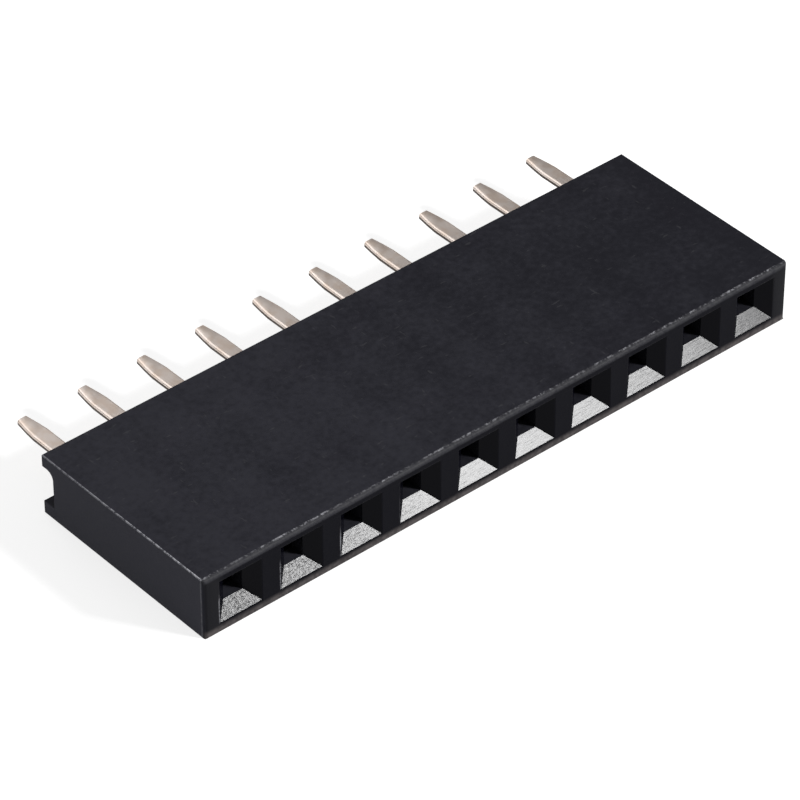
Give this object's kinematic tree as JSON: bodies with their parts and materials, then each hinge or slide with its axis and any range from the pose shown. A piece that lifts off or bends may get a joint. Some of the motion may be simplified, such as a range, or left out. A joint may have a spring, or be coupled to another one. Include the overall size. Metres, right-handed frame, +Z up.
{
  "type": "female pin header",
  "caption": "Single-row female pin header: a black moulded strip with square lead-in sockets, sprung contacts inside, and straight flat solder tails out of the back.",
  "frame": {"origin": "under the middle of the whole part, housing and tails together, on the surface that it lies on", "axes": "+X along the row, away from position 1; -Y out of the mating face; +Y towards the solder tails; +Z up, out of the upper wide side"},
  "size_m": [0.026, 0.0116, 0.0025],
  "materials": {
    "housing": "matte moulded, glass-filled polyester",
    "contacts": "satin tin plate over phosphor bronze"
  },
  "bodies": {
    "root": {"housing": "housing", "contact_01": "contacts", "contact_02": "contacts", "contact_03": "contacts", "contact_04": "contacts", "contact_05": "contacts", "contact_06": "contacts", "contact_07": "contacts", "contact_08": "contacts", "contact_09": "contacts", "contact_10": "contacts"}
  },
  "joints": []
}
